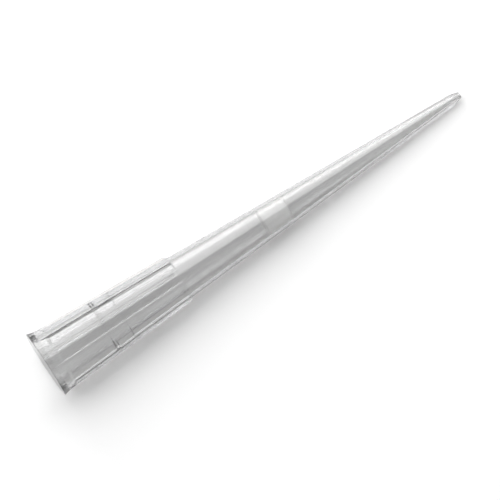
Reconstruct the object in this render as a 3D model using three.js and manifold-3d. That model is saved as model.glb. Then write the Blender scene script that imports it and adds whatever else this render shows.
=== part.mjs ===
// Filter pipette tip, in millimetres.
// The tip stands on its mouth: +Z runs along the axis from the wide mouth to the thin end,
// and the origin is the centre of the mouth's rim.

import * as THREE from 'three';
import { mergeVertices } from 'three/addons/utils/BufferGeometryUtils.js';
import Module from 'manifold-3d';

const wasm = await Module();
wasm.setup();

// ---- driving dimensions ----

const tipLength = 50;

// outside of the mouth and the collar
const mouthRadius = 3.65;
const rimEdge = 0.06;            // small bevel on both edges of the mouth's rim
const flareEnd = 1.22;           // height where the straight flare ends
const flareEndRadius = 3.37;
const collarStart = 1.8;         // height where the flare has blended into the collar
const collarStartRadius = 3.18;
const collarEnd = 16;
const collarEndRadius = 2.41;

// outside of the barrel and the thin end
const shoulderRun = 0.18;        // length of the small step under the collar
const barrelRadius = 2.35;       // just past that step
const bevelLength = 0.98;
const bevelStartRadius = 0.585;
const nibWall = 0.13;            // wall around the orifice, at the very end

// fins on the collar
const finCount = 6;
const finThickness = 0.4;
const finHeight = 0.28;          // stands this far out of the collar
const finStart = 0.5;            // height where a fin grows out of the flare
const finRoot = 0.15;            // depth that a fin reaches into the wall

// inside
const rimWall = 0.33;
const leadInDepth = 0.65;
const leadInWall = 0.52;
const seatDepth = 1.75;          // height where the lead-in ends in the socket
const socketWall = 0.38;
const beadStart = 6.85;          // seal bead
const beadLength = 0.44;
const beadHeight = 0.09;
const ledgeStart = 9.1;          // small step in the socket, above the bead
const ledgeHeight = 0.05;
const socketEnd = 15.6;
const stopRun = 0.25;            // sloping stop between the socket and the barrel's bore
const barrelWall = 0.37;
const throatStart = 29.3;        // just past the plug the bore narrows a little faster
const throatWall = 0.31;
const orificeRadius = 0.2;
const landLength = 0.9;          // straight hole at the thin end

// filter plug
const plugStart = 26.1;
const plugLength = 3.05;
const plugChamfer = 0.1;
const plugClearance = 0.02;      // the real plug is pressed in, and touches the wall

const segments = 60;
const blendSteps = 4;
const beadSteps = 6;

// ---- helpers ----

// value at z on the straight line through (z0, v0) and (z1, v1)
function along(z, z0, v0, z1, v1) {
  return v0 + (v1 - v0) * (z - z0) / (z1 - z0);
}

function collarRadius(z) {
  return along(z, collarStart, collarStartRadius, collarEnd, collarEndRadius);
}

function flareRadius(z) {
  return along(z, 0, mouthRadius, flareEnd, flareEndRadius);
}

function outerBarrelRadius(z) {
  return along(z, collarEnd + shoulderRun, barrelRadius, tipLength - bevelLength, bevelStartRadius);
}

const boreStart = socketEnd + stopRun;
const boreStartRadius = barrelRadius - barrelWall;
const throatRadius = outerBarrelRadius(throatStart) - throatWall;
const boreEnd = tipLength - landLength;

function boreRadius(z) {
  return z < throatStart
    ? along(z, boreStart, boreStartRadius, throatStart, throatRadius)
    : along(z, throatStart, throatRadius, boreEnd, orificeRadius);
}

function socketRadius(z) {
  const ledge = z < ledgeStart ? 0 : ledgeHeight;
  return collarRadius(z) - socketWall - ledge;
}

// closed [radius, z] profile turned about +Z
function turned(profile) {
  const points = profile.map(([radius, z]) => new THREE.Vector2(radius, z));
  const geometry = new THREE.LatheGeometry(points, segments);
  geometry.rotateX(Math.PI / 2);
  return geometry;
}

function weld(geometry) {
  geometry.deleteAttribute('normal');
  geometry.deleteAttribute('uv');
  return mergeVertices(geometry, 1e-4);
}

function toSolid(geometry) {
  const welded = weld(geometry);
  return new wasm.Manifold(new wasm.Mesh({
    numProp: 3,
    vertProperties: new Float32Array(welded.attributes.position.array),
    triVerts: new Uint32Array(welded.index.array),
  }));
}

function toGeometry(solid) {
  const { vertProperties, triVerts } = solid.getMesh();
  const geometry = new THREE.BufferGeometry();
  geometry.setAttribute('position', new THREE.BufferAttribute(new Float32Array(vertProperties), 3));
  geometry.setIndex(new THREE.BufferAttribute(new Uint32Array(triVerts), 1));
  geometry.computeVertexNormals();
  return geometry;
}

// ---- tip body ----

// S-shaped run from the end of the flare to the start of the collar
function flareBlend() {
  const points = [];
  for (let i = 0; i <= blendSteps; i += 1) {
    const t = i / blendSteps;
    const fall = (1 - Math.cos(Math.PI * t)) / 2;
    points.push([
      flareEndRadius + (collarStartRadius - flareEndRadius) * fall,
      flareEnd + (collarStart - flareEnd) * t,
    ]);
  }
  return points;
}

// rounded bead that stands inward from the socket's wall, listed from its upper end down
function sealBead() {
  const points = [];
  for (let i = 0; i <= beadSteps; i += 1) {
    const t = i / beadSteps;
    const z = beadStart + beadLength * (1 - t);
    points.push([socketRadius(z) - beadHeight * Math.sin(Math.PI * t), z]);
  }
  return points;
}

function bodyProfile() {
  const outside = [
    [mouthRadius - rimEdge, 0],
    [flareRadius(rimEdge), rimEdge],
    ...flareBlend(),
    [collarEndRadius, collarEnd],
    [barrelRadius, collarEnd + shoulderRun],
    [bevelStartRadius, tipLength - bevelLength],
    [orificeRadius + nibWall, tipLength],
  ];
  const inside = [
    [orificeRadius, tipLength],
    [orificeRadius, boreEnd],
    [throatRadius, throatStart],
    [boreStartRadius, boreStart],
    [socketRadius(socketEnd), socketEnd],
    [socketRadius(ledgeStart), ledgeStart],
    [socketRadius(ledgeStart) + ledgeHeight, ledgeStart - ledgeHeight],
    ...sealBead(),
    [collarRadius(seatDepth) - socketWall, seatDepth],
    [flareRadius(leadInDepth) - leadInWall, leadInDepth],
    [mouthRadius - rimWall, rimEdge],
    [mouthRadius - rimWall + rimEdge, 0],
  ];
  return [...outside, ...inside, outside[0]];
}

// thin straight plate along the collar, with its root inside the wall
function finPlate(angle) {
  const outline = new THREE.Shape([
    new THREE.Vector2(collarRadius(finStart) - finRoot, finStart),
    new THREE.Vector2(collarRadius(finStart) + finHeight, finStart),
    new THREE.Vector2(collarRadius(collarEnd) + finHeight, collarEnd),
    new THREE.Vector2(collarRadius(collarEnd) - finRoot, collarEnd),
  ]);
  const plate = new THREE.ExtrudeGeometry(outline, { depth: finThickness, bevelEnabled: false });
  plate.translate(0, 0, -finThickness / 2);
  plate.rotateX(Math.PI / 2);
  plate.rotateZ(angle);
  return plate;
}

function tipBody() {
  let solid = toSolid(turned(bodyProfile()));
  for (let i = 0; i < finCount; i += 1) {
    solid = solid.add(toSolid(finPlate(2 * Math.PI * i / finCount)));
  }
  const material = new THREE.MeshStandardMaterial({ color: 0xdfe2e2, roughness: 0.2, metalness: 0 });
  const mesh = new THREE.Mesh(toGeometry(solid), material);
  mesh.name = 'tip_body';
  return mesh;
}

// ---- filter plug ----

function filterPlug() {
  const low = plugStart;
  const high = plugStart + plugLength;
  const side = (z) => boreRadius(z) - plugClearance;
  const profile = [
    [0, low],
    [side(low) - plugChamfer, low],
    [side(low + plugChamfer), low + plugChamfer],
    [side(high - plugChamfer), high - plugChamfer],
    [side(high) - plugChamfer, high],
    [0, high],
  ];
  const material = new THREE.MeshStandardMaterial({ color: 0xf3f3f1, roughness: 0.95, metalness: 0 });
  const mesh = new THREE.Mesh(weld(turned(profile)), material);
  mesh.geometry.computeVertexNormals();
  mesh.name = 'filter_plug';
  return mesh;
}

const tip = new THREE.Group();
tip.add(tipBody(), filterPlug());

export default tip;
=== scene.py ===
# Filter pipette tip, standing on its mouth. Everything is in metres, +Z towards the thin end.
import math

import bpy
from mathutils import Matrix, Vector


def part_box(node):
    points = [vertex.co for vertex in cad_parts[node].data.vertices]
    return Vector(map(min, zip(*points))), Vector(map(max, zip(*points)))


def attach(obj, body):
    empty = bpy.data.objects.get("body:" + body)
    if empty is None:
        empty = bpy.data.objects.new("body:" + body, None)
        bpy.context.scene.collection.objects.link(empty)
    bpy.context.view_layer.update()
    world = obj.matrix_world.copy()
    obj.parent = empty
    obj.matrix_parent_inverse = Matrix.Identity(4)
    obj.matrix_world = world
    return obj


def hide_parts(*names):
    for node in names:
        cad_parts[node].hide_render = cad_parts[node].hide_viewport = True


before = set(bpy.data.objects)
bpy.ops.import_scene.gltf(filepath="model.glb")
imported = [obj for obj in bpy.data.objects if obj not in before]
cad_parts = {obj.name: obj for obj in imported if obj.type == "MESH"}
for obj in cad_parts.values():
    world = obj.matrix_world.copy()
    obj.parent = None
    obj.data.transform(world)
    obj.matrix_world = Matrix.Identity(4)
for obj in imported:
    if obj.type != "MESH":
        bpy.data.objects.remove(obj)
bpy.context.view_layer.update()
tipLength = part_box("tip_body")[1].z
plugLow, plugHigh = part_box("filter_plug")
mm = 0.001
upward = Vector((0, 0, 1))
white = (1, 1, 1, 1)
print("frame loaded")


# the camera looks along the horizon from a little below, turned so that the tip lies on the slant
shot = {
    "azimuth": 15.0,          # degrees round +Z, 0 looks along +Y
    "distance": 0.95,
    "height": -0.048,         # below the mouth, which shows a little
    "lens": 681.0,
    "clip": (0.01, 10),
    "slant": 33.12,           # degrees from the picture's level to the tip's axis
    "aimUp": 0.4725,          # share of the tip's length
    "aimSide": 1.55 * mm,     # away from the key light
}
turn = math.radians(shot["azimuth"])
toCamera = Vector((math.sin(turn), -math.cos(turn), 0))
toRight = Vector((math.cos(turn), math.sin(turn), 0))


def standing(place, right, up, back):
    # matrix of something that stands at place with these three directions
    return Matrix.Translation(place) @ Matrix((right, up, back)).transposed().to_4x4()


def addCamera():
    bpy.ops.object.camera_add()
    camera = bpy.context.object
    camera.name = "camera"
    camera.data.lens = shot["lens"]
    camera.data.clip_start, camera.data.clip_end = shot["clip"]
    place = toCamera * shot["distance"] + upward * shot["height"]
    aim = toRight * shot["aimSide"] + upward * tipLength * shot["aimUp"]
    ahead = (aim - place).normalized()
    along = (upward - ahead * ahead.z).normalized()
    across = along.cross(ahead)
    slant = math.radians(shot["slant"])
    right = along * math.cos(slant) - across * math.sin(slant)
    up = along * math.sin(slant) + across * math.cos(slant)
    camera.matrix_world = standing(place, right, up, -ahead)
    bpy.context.scene.camera = camera


mergeGap = 0.0005 * mm        # points closer than this become one
mostly = 0.9                  # share of a full height, or of a straight direction, that still counts


def startFresh():
    if bpy.context.object and bpy.context.object.mode != "OBJECT":
        bpy.ops.object.mode_set(mode="OBJECT")
    bpy.ops.object.select_all(action="DESELECT")


def takeUp(piece):
    startFresh()
    piece.select_set(True)
    bpy.context.view_layer.objects.active = piece


def settle():
    bpy.ops.object.transform_apply(location=True, rotation=True, scale=True)


def pick(piece, kind, wanted):
    # in edit mode, selects the vertices, edges or faces that the test wants
    bpy.ops.object.mode_set(mode="EDIT")
    bpy.ops.mesh.select_mode(type=kind)
    bpy.ops.mesh.select_all(action="DESELECT")
    bpy.ops.object.mode_set(mode="OBJECT")
    parts = {"VERT": piece.data.vertices, "EDGE": piece.data.edges, "FACE": piece.data.polygons}
    for part in parts[kind]:
        part.select = wanted(part)
    bpy.ops.object.mode_set(mode="EDIT")


def turnOutwards():
    bpy.ops.mesh.select_all(action="SELECT")
    bpy.ops.mesh.normals_make_consistent(inside=False)
    bpy.ops.object.mode_set(mode="OBJECT")


def ringTower(name, stations, around):
    # rings are extruded one from another; where the last lies on the first, the wall closes
    startFresh()
    radius, z = stations[0]
    bpy.ops.mesh.primitive_circle_add(vertices=around, radius=radius, location=(0, 0, z))
    piece = bpy.context.object
    piece.name = name
    settle()
    bpy.ops.object.mode_set(mode="EDIT")
    bpy.ops.mesh.select_mode(type="VERT")
    bpy.ops.mesh.select_all(action="SELECT")
    for nextRadius, nextZ in stations[1:]:
        bpy.ops.mesh.extrude_region_move(TRANSFORM_OT_translate={"value": (0, 0, nextZ - z)})
        grow = nextRadius / radius
        bpy.ops.transform.resize(value=(grow, grow, 1), center_override=(0, 0, nextZ))
        radius, z = nextRadius, nextZ
    bpy.ops.mesh.select_all(action="SELECT")
    bpy.ops.mesh.remove_doubles(threshold=mergeGap)
    turnOutwards()
    return piece


# radii and heights of the body: a depth or a start is measured from the mouth's rim
body = {
    "around": 288,
    "mouthRadius": 3.65 * mm,
    "flareEnd": 1.22 * mm,
    "flareEndRadius": 3.37 * mm,
    "collarStart": 1.8 * mm,
    "collarStartRadius": 3.18 * mm,
    "collarEnd": 16 * mm,
    "collarEndRadius": 2.41 * mm,
    "shoulderRun": 0.18 * mm,
    "barrelRadius": 2.35 * mm,
    "bevelLength": 0.98 * mm,
    "bevelStartRadius": 0.585 * mm,
    "nibWall": 0.13 * mm,
    "rimWall": 0.33 * mm,
    "leadInDepth": 0.65 * mm,
    "leadInWall": 0.52 * mm,
    "seatDepth": 1.75 * mm,
    "socketWall": 0.38 * mm,
    "beadStart": 6.85 * mm,
    "beadLength": 0.44 * mm,
    "beadHeight": 0.09 * mm,
    "ledgeStart": 9.1 * mm,
    "ledgeHeight": 0.05 * mm,
    "socketEnd": 15.6 * mm,
    "stopRun": 0.25 * mm,
    "barrelWall": 0.37 * mm,
    "throatStart": 29.3 * mm,
    "throatWall": 0.31 * mm,
    "orificeRadius": 0.2 * mm,
    "landLength": 0.9 * mm,
    "curveSteps": 10,         # in the run behind the flare and in the bead
    "edgeRound": 0.06 * mm,   # small round on every edge of the outline
    "edgeSteps": 4,
    "edgeShare": 0.45,        # most of a side that a round may take
    "edgeFrom": 9,            # degrees; a flatter corner stays as it is
    "smoothUpTo": 35,         # degrees between faces
    "faceWeight": 100,        # the long faces keep their own normals beside the small rounds
}
fin = {
    "count": 6,
    "thickness": 0.4 * mm,
    "height": 0.28 * mm,
    "start": 0.5 * mm,
    "root": 0.15 * mm,        # depth that it reaches into the wall
    "crestRound": 0.145 * mm,
    "crestSteps": 4,
    "foot": 0.08 * mm,        # fillet between a fin and the collar
    "footSteps": 4,
}


def between(z, z0, value0, z1, value1):
    return value0 + (value1 - value0) * (z - z0) / (z1 - z0)


def collarRadius(z):
    b = body
    return between(z, b["collarStart"], b["collarStartRadius"], b["collarEnd"], b["collarEndRadius"])


def flareRadius(z):
    return between(z, 0, body["mouthRadius"], body["flareEnd"], body["flareEndRadius"])


def outerBarrelRadius(z):
    b = body
    start, end = b["collarEnd"] + b["shoulderRun"], tipLength - b["bevelLength"]
    return between(z, start, b["barrelRadius"], end, b["bevelStartRadius"])


def boreRadius(z):
    b = body
    throat = outerBarrelRadius(b["throatStart"]) - b["throatWall"]
    if z < b["throatStart"]:
        start = b["socketEnd"] + b["stopRun"]
        return between(z, start, b["barrelRadius"] - b["barrelWall"], b["throatStart"], throat)
    return between(z, b["throatStart"], throat, tipLength - b["landLength"], b["orificeRadius"])


def rounded(points):
    # puts a short curve in the place of every sharp corner between the first and the last point
    out = [points[0]]
    for before, corner, after in zip(points, points[1:], points[2:]):
        a, b, c = Vector(before), Vector(corner), Vector(after)
        if (b - a).angle(c - b) < math.radians(body["edgeFrom"]):
            out.append(corner)
            continue
        share = body["edgeShare"]
        cut = min(body["edgeRound"], (a - b).length * share, (c - b).length * share)
        start, end = b + (a - b).normalized() * cut, b + (c - b).normalized() * cut
        for i in range(body["edgeSteps"] + 1):
            t = i / body["edgeSteps"]
            p = start * (1 - t) ** 2 + b * (2 * t * (1 - t)) + end * t ** 2
            out.append((p.x, p.y))
    out.append(points[-1])
    return out


def flareBlend():
    # S-shaped run from the end of the flare to the start of the collar
    b, steps, out = body, body["curveSteps"], []
    for i in range(steps + 1):
        fall = (1 - math.cos(math.pi * i / steps)) / 2
        radius = b["flareEndRadius"] + (b["collarStartRadius"] - b["flareEndRadius"]) * fall
        out.append((radius, between(i, 0, b["flareEnd"], steps, b["collarStart"])))
    return out


def sealBead():
    # rounded bead that stands inward from the socket's wall, from its upper end down
    b, steps, out = body, body["curveSteps"], []
    for i in range(steps + 1):
        z = between(i, 0, b["beadStart"] + b["beadLength"], steps, b["beadStart"])
        swell = b["beadHeight"] * math.sin(math.pi * i / steps)
        out.append((collarRadius(z) - b["socketWall"] - swell, z))
    return out


def bodyStations():
    # radius and height of the whole outline, up the outside and down the inside to the same rim
    b = body
    rimMiddle = b["mouthRadius"] - b["rimWall"] / 2
    ledgeEndRadius = collarRadius(b["socketEnd"]) - b["socketWall"] - b["ledgeHeight"]
    ledgeRadius = collarRadius(b["ledgeStart"]) - b["socketWall"]
    return rounded([
        (rimMiddle, 0),
        (b["mouthRadius"], 0),
        *flareBlend(),
        (b["collarEndRadius"], b["collarEnd"]),
        (b["barrelRadius"], b["collarEnd"] + b["shoulderRun"]),
        (b["bevelStartRadius"], tipLength - b["bevelLength"]),
        (b["orificeRadius"] + b["nibWall"], tipLength),
        (b["orificeRadius"], tipLength),
        (b["orificeRadius"], tipLength - b["landLength"]),
        (boreRadius(b["throatStart"]), b["throatStart"]),
        (b["barrelRadius"] - b["barrelWall"], b["socketEnd"] + b["stopRun"]),
        (ledgeEndRadius, b["socketEnd"]),
        (ledgeRadius - b["ledgeHeight"], b["ledgeStart"]),
        (ledgeRadius, b["ledgeStart"] - b["ledgeHeight"]),
        *sealBead(),
        (collarRadius(b["seatDepth"]) - b["socketWall"], b["seatDepth"]),
        (flareRadius(b["leadInDepth"]) - b["leadInWall"], b["leadInDepth"]),
        (b["mouthRadius"] - b["rimWall"], 0),
        (rimMiddle, 0),
    ])


def makeFin():
    # a plate that leans with the collar, with a round crest and a filleted foot
    startFresh()
    low, high = fin["start"], body["collarEnd"]
    halfWay = (low + high) / 2
    inner, outer = collarRadius(low) + fin["foot"], collarRadius(low) + fin["height"]
    size = (outer - inner, fin["thickness"], high - low)
    bpy.ops.mesh.primitive_cube_add(size=1, location=((inner + outer) / 2, 0, halfWay), scale=size)
    plate = bpy.context.object
    plate.name = "fin"
    settle()
    pick(plate, "VERT", lambda v: v.co.z > halfWay)
    bpy.ops.transform.translate(value=(collarRadius(high) - collarRadius(low), 0, 0))

    def onCrest(edge):
        # the crest's two long edges and the short one at its upper end
        ends = [plate.data.vertices[i].co for i in edge.vertices]
        proud = min(co.x - collarRadius(co.z) for co in ends) > fin["height"] * mostly
        return proud and max(co.z for co in ends) > halfWay

    pick(plate, "EDGE", onCrest)
    bpy.ops.mesh.bevel(offset=fin["crestRound"], segments=fin["crestSteps"], profile=0.5)
    # the inner face is extruded inwards and widened along a quarter of a circle, then into the wall
    pick(plate, "FACE", lambda f: f.normal.x < -mostly)
    width, depth = fin["thickness"], 0
    for i in range(1, fin["footSteps"] + 1):
        t = math.radians(90 * i / fin["footSteps"])
        nextDepth = fin["foot"] * math.sin(t)
        nextWidth = fin["thickness"] + 2 * fin["foot"] * (1 - math.cos(t))
        bpy.ops.mesh.extrude_region_move(TRANSFORM_OT_translate={"value": (depth - nextDepth, 0, 0)})
        bpy.ops.transform.resize(value=(1, nextWidth / width, 1), center_override=(0, 0, 0))
        width, depth = nextWidth, nextDepth
    bpy.ops.mesh.extrude_region_move(TRANSFORM_OT_translate={"value": (-fin["root"], 0, 0)})
    turnOutwards()
    return plate


def makeFins():
    # one fin, copied round the collar
    first = makeFin()
    fins = [first]
    for i in range(1, fin["count"]):
        takeUp(first)
        bpy.ops.object.duplicate(linked=False)
        copy = bpy.context.object
        copy.rotation_euler.z = 2 * math.pi * i / fin["count"]
        settle()
        fins.append(copy)
    takeUp(first)
    for plate in fins:
        plate.select_set(True)
    bpy.ops.object.join()
    return first


def makeBody():
    piece = ringTower("tipBody", bodyStations(), body["around"])
    fins = makeFins()
    takeUp(piece)
    union = piece.modifiers.new("fins", "BOOLEAN")
    union.operation = "UNION"
    union.solver = "EXACT"
    union.object = fins
    bpy.ops.object.modifier_apply(modifier=union.name)
    bpy.data.objects.remove(fins)
    bpy.ops.object.shade_smooth_by_angle(angle=math.radians(body["smoothUpTo"]))
    steady = piece.modifiers.new("steady", "WEIGHTED_NORMAL")
    steady.weight = body["faceWeight"]
    steady.keep_sharp = True
    bpy.ops.object.modifier_apply(modifier=steady.name)
    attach(piece, "root")
    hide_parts("tip_body")
    return piece


plug = {
    "around": 160,
    "edgeRound": 0.28 * mm,
    "edgeSteps": 5,
    "clearance": 0.02 * mm,   # to the bore
    "ringStep": 0.07 * mm,
    "grains": ((0.42 * mm, 0.05 * mm), (0.16 * mm, 0.04 * mm)),   # size and depth
    "smoothUpTo": 60,         # degrees between faces
}


def plugStations():
    # up from the middle of the lower end face to the middle of the upper one, in short steps
    low, high = plugLow.z, plugHigh.z
    edge, step = plug["edgeRound"], plug["ringStep"]
    turns = [math.radians(90 * i / plug["edgeSteps"]) for i in range(1, plug["edgeSteps"])]
    face = boreRadius(low) - plug["clearance"] - edge
    steps = round(face / step)
    out = [(face * i / steps, low) for i in range(1, steps + 1)]
    out += [(face + edge * math.sin(t), low + edge * (1 - math.cos(t))) for t in turns]
    rise = high - low - 2 * edge
    steps = round(rise / step)
    for i in range(steps + 1):
        z = low + edge + rise * i / steps
        out.append((boreRadius(z) - plug["clearance"], z))
    face = boreRadius(high) - plug["clearance"] - edge
    out += [(face + edge * math.cos(t), high - edge * (1 - math.sin(t))) for t in turns]
    steps = round(face / step)
    out += [(face * i / steps, high) for i in range(steps, 0, -1)]
    return out


def makePlug():
    piece = ringTower("filterPlug", plugStations(), plug["around"])
    # the smallest ring of each end face is still open
    bpy.ops.object.mode_set(mode="EDIT")
    bpy.ops.mesh.select_mode(type="EDGE")
    bpy.ops.mesh.select_all(action="DESELECT")
    bpy.ops.mesh.select_non_manifold()
    bpy.ops.mesh.fill()
    turnOutwards()
    for size, depth in plug["grains"]:
        grains = bpy.data.textures.new("grains", "VORONOI")
        grains.noise_scale = size
        grains.weight_1 = 1
        push = piece.modifiers.new("grains", "DISPLACE")
        push.texture = grains
        push.texture_coords = "LOCAL"
        push.mid_level = 1        # inwards only
        push.strength = depth
        bpy.ops.object.modifier_apply(modifier=push.name)
    bpy.ops.object.shade_smooth_by_angle(angle=math.radians(plug["smoothUpTo"]))
    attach(piece, "root")
    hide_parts("filter_plug")
    return piece


# a pattern's stretch is along the tip: under 1 its marks are longer that way
plastic = {
    "colour": (0.755, 0.755, 0.755, 1),
    "transmission": 0.97,
    "ior": 1.49,
    "haze": (0.07, 0.1),      # roughness, least and most
    "cloud": {"scale": 420, "stretch": 0.3, "detail": 2},
    "cloudRange": (0.3, 0.7),     # of the noise, from least to most haze
    "murk": 60,               # light lost inside the wall, per metre
    "flow": {"scale": 2600, "stretch": 0.06, "detail": 1},
    "flowDepth": 0.0004 * mm,
}
porous = {
    "colour": (0.97, 0.97, 0.965, 1),
    # painted shade: the pores are coloured darker than the grains, as if shade fell into them
    "paintedPoreShade": (0.84, 0.84, 0.83, 1),
    "poreShadeRange": (0.32, 0.5),     # of the noise, from the painted shade of the pores to grain
    "pores": {"scale": 9000, "stretch": 1, "detail": 3},
    "poreDepth": 0.03 * mm,
    "roughness": 0.95,
    "gloss": 0.2,
}


def newMaterial(name):
    material = bpy.data.materials.new(name)
    material.use_nodes = True
    nodes, links = material.node_tree.nodes, material.node_tree.links
    return material, nodes, links, nodes["Principled BSDF"]


def noiseOf(nodes, links, pattern):
    place = nodes.new("ShaderNodeTexCoord")
    squeeze = nodes.new("ShaderNodeMapping")
    squeeze.inputs["Scale"].default_value = (1, 1, pattern["stretch"])
    links.new(place.outputs["Object"], squeeze.inputs["Vector"])
    noise = nodes.new("ShaderNodeTexNoise")
    noise.inputs["Scale"].default_value = pattern["scale"]
    noise.inputs["Detail"].default_value = pattern["detail"]
    links.new(squeeze.outputs["Vector"], noise.inputs["Vector"])
    return noise.outputs["Fac"]


def addBump(nodes, links, shader, height, depth):
    bump = nodes.new("ShaderNodeBump")
    bump.inputs["Distance"].default_value = depth
    links.new(height, bump.inputs["Height"])
    links.new(bump.outputs["Normal"], shader.inputs["Normal"])


def plasticMaterial():
    # clear and a little hazy, with faint flow lines of the moulding
    material, nodes, links, shader = newMaterial("clearPolypropylene")
    shader.inputs["Base Color"].default_value = plastic["colour"]
    shader.inputs["IOR"].default_value = plastic["ior"]
    shader.inputs["Transmission Weight"].default_value = plastic["transmission"]
    murk = nodes.new("ShaderNodeVolumeAbsorption")
    murk.inputs["Color"].default_value = (0, 0, 0, 1)
    murk.inputs["Density"].default_value = plastic["murk"]
    links.new(murk.outputs["Volume"], nodes["Material Output"].inputs["Volume"])
    cloud = noiseOf(nodes, links, plastic["cloud"])
    haze = nodes.new("ShaderNodeMapRange")
    haze.inputs["From Min"].default_value, haze.inputs["From Max"].default_value = plastic["cloudRange"]
    haze.inputs["To Min"].default_value, haze.inputs["To Max"].default_value = plastic["haze"]
    links.new(cloud, haze.inputs["Value"])
    links.new(haze.outputs["Result"], shader.inputs["Roughness"])
    addBump(nodes, links, shader, noiseOf(nodes, links, plastic["flow"]), plastic["flowDepth"])
    return material


def plugMaterial():
    # sintered grains, with shade painted darker into the pores between them
    material, nodes, links, shader = newMaterial("porousPlug")
    shader.inputs["Roughness"].default_value = porous["roughness"]
    shader.inputs["Specular IOR Level"].default_value = porous["gloss"]
    grain = noiseOf(nodes, links, porous["pores"])
    tone = nodes.new("ShaderNodeValToRGB")
    # the pore end of the ramp is painted shade, the grain end is the plug's own white
    poreShadeEnd, grainEnd = tone.color_ramp.elements
    poreShadeEnd.position, grainEnd.position = porous["poreShadeRange"]
    poreShadeEnd.color, grainEnd.color = porous["paintedPoreShade"], porous["colour"]
    links.new(grain, tone.inputs["Fac"])
    links.new(tone.outputs["Color"], shader.inputs["Base Color"])
    addBump(nodes, links, shader, grain, porous["poreDepth"])
    return material


stage = {
    "backdropSize": 0.5,
    "backdropGap": 0.2 * mm,  # behind the mouth's rim
    "backdropLean": 3.58,     # degrees, towards the tip's thin end
    "backdropColour": 0.9,
    "backdropGlow": 0.215,
    "floorSize": 2,
    "floorColour": 0.9,
    "floorGlow": 0.95,
    "worldLight": 0.03,       # on matt surfaces
    "worldSeen": 1.0,         # by the camera
    "worldThrough": 0.56,     # in reflections and through the plastic
    "lampDistance": 0.4,
}
# soft boxes round the tip; angle is degrees to the left of the camera, lift is above the tip's middle
lamps = {
    "softBox": {"angle": 36.0, "width": 0.355, "height": 1.0, "lift": 0.0, "radiance": 2.7},
    "sideBox": {"angle": 70.0, "width": 0.17, "height": 0.18, "lift": 0.033, "radiance": 5.4},
    "rimBox": {"angle": 88.0, "width": 0.08, "height": 0.18, "lift": 0.033, "radiance": 5.4},
    "fillBox": {"angle": -57.5, "width": 0.252, "height": 1.0, "lift": 0.0, "radiance": 0.6},
}


def largest(nodes, links, one, other):
    most = nodes.new("ShaderNodeMath")
    most.operation = "MAXIMUM"
    links.new(one, most.inputs[0])
    links.new(other, most.inputs[1])
    return most.outputs[0]


def mixed(nodes, links, share, first, second):
    mix = nodes.new("ShaderNodeMixShader")
    links.new(share, mix.inputs["Fac"])
    links.new(first, mix.inputs[1])
    links.new(second, mix.inputs[2])
    return mix.outputs[0]


def rayKinds(nodes, links):
    # what the camera sees itself, and what it sees in a reflection or through the plastic
    rays = nodes.new("ShaderNodeLightPath")
    glint = largest(nodes, links, rays.outputs["Is Glossy Ray"], rays.outputs["Is Transmission Ray"])
    return rays.outputs["Is Camera Ray"], glint


def whiteSurface(name, colour, glow, seeThrough):
    # glows only where it is seen; from behind it isn't there, and seeThrough lets light past it
    material, nodes, links, shader = newMaterial(name)
    nodes.remove(shader)
    diffuse = nodes.new("ShaderNodeBsdfDiffuse")
    diffuse.inputs["Color"].default_value = (colour, colour, colour, 1)
    emission = nodes.new("ShaderNodeEmission")
    emission.inputs["Strength"].default_value = glow
    lit = nodes.new("ShaderNodeAddShader")
    links.new(diffuse.outputs[0], lit.inputs[0])
    links.new(emission.outputs[0], lit.inputs[1])
    clear = nodes.new("ShaderNodeBsdfTransparent")
    seen = largest(nodes, links, *rayKinds(nodes, links))
    unseen = clear if seeThrough else diffuse
    front = mixed(nodes, links, seen, unseen.outputs[0], lit.outputs[0])
    side = nodes.new("ShaderNodeNewGeometry")
    both = mixed(nodes, links, side.outputs["Backfacing"], front, clear.outputs[0])
    links.new(both, nodes["Material Output"].inputs["Surface"])
    return material


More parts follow.
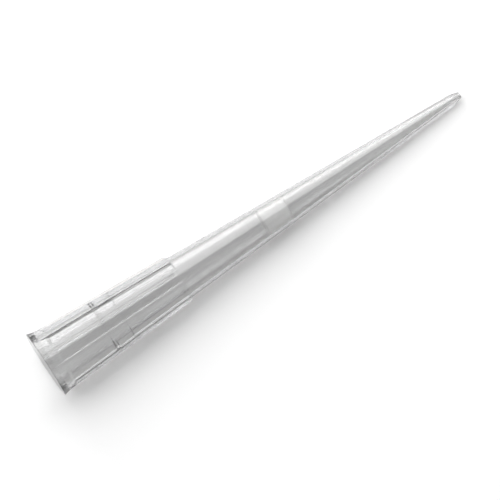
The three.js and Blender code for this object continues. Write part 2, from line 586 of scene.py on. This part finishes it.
def addBackdrop():
    startFresh()
    bpy.ops.mesh.primitive_plane_add(size=stage["backdropSize"])
    wall = bpy.context.object
    wall.name = "backdrop"
    lean = math.radians(stage["backdropLean"])
    normal = (toCamera - upward * math.tan(lean)).normalized()
    upWall = (upward - normal * normal.z).normalized()
    middle = -toCamera * (body["mouthRadius"] + stage["backdropGap"])
    wall.matrix_world = standing(middle, upWall.cross(normal), upWall, normal)
    colour, glow = stage["backdropColour"], stage["backdropGlow"]
    wall.data.materials.append(whiteSurface("backdropWhite", colour, glow, seeThrough=False))


def addFloor():
    startFresh()
    bpy.ops.mesh.primitive_plane_add(size=stage["floorSize"])
    floor = bpy.context.object
    floor.name = "floor"
    colour, glow = stage["floorColour"], stage["floorGlow"]
    floor.data.materials.append(whiteSurface("floorWhite", colour, glow, seeThrough=True))


def addLamp(name, lamp):
    startFresh()
    angle = math.radians(lamp["angle"])
    back = toCamera * math.cos(angle) - toRight * math.sin(angle)
    bpy.ops.object.light_add(type="AREA")
    box = bpy.context.object
    box.name = name
    box.data.shape = "RECTANGLE"
    box.data.size = lamp["width"]
    box.data.size_y = lamp["height"]
    box.data.energy = lamp["radiance"] * math.pi * lamp["width"] * lamp["height"]
    box.visible_camera = False
    place = back * stage["lampDistance"] + upward * (tipLength / 2 + lamp["lift"])
    box.matrix_world = standing(place, upward.cross(back), upward, back)


def whiteSky(nodes, strength):
    sky = nodes.new("ShaderNodeBackground")
    sky.inputs["Color"].default_value = white
    sky.inputs["Strength"].default_value = strength
    return sky.outputs[0]


def addWorld():
    world = bpy.data.worlds.new("studio")
    bpy.context.scene.world = world
    world.use_nodes = True
    nodes, links = world.node_tree.nodes, world.node_tree.links
    nodes.remove(nodes["Background"])
    camera, glint = rayKinds(nodes, links)
    light = whiteSky(nodes, stage["worldLight"])
    unseen = mixed(nodes, links, glint, light, whiteSky(nodes, stage["worldThrough"]))
    sky = mixed(nodes, links, camera, unseen, whiteSky(nodes, stage["worldSeen"]))
    links.new(sky, nodes["World Output"].inputs["Surface"])


addCamera()
tipBody = makeBody()
tipBody.data.materials.clear()
tipBody.data.materials.append(plasticMaterial())
print("tip body made")
filterPlug = makePlug()
filterPlug.data.materials.clear()
filterPlug.data.materials.append(plugMaterial())
print("filter plug made")
addBackdrop()
addFloor()
for lampName, lamp in lamps.items():
    addLamp(lampName, lamp)
addWorld()
bpy.context.scene.view_settings.view_transform = "Standard"
print("stage and light set")
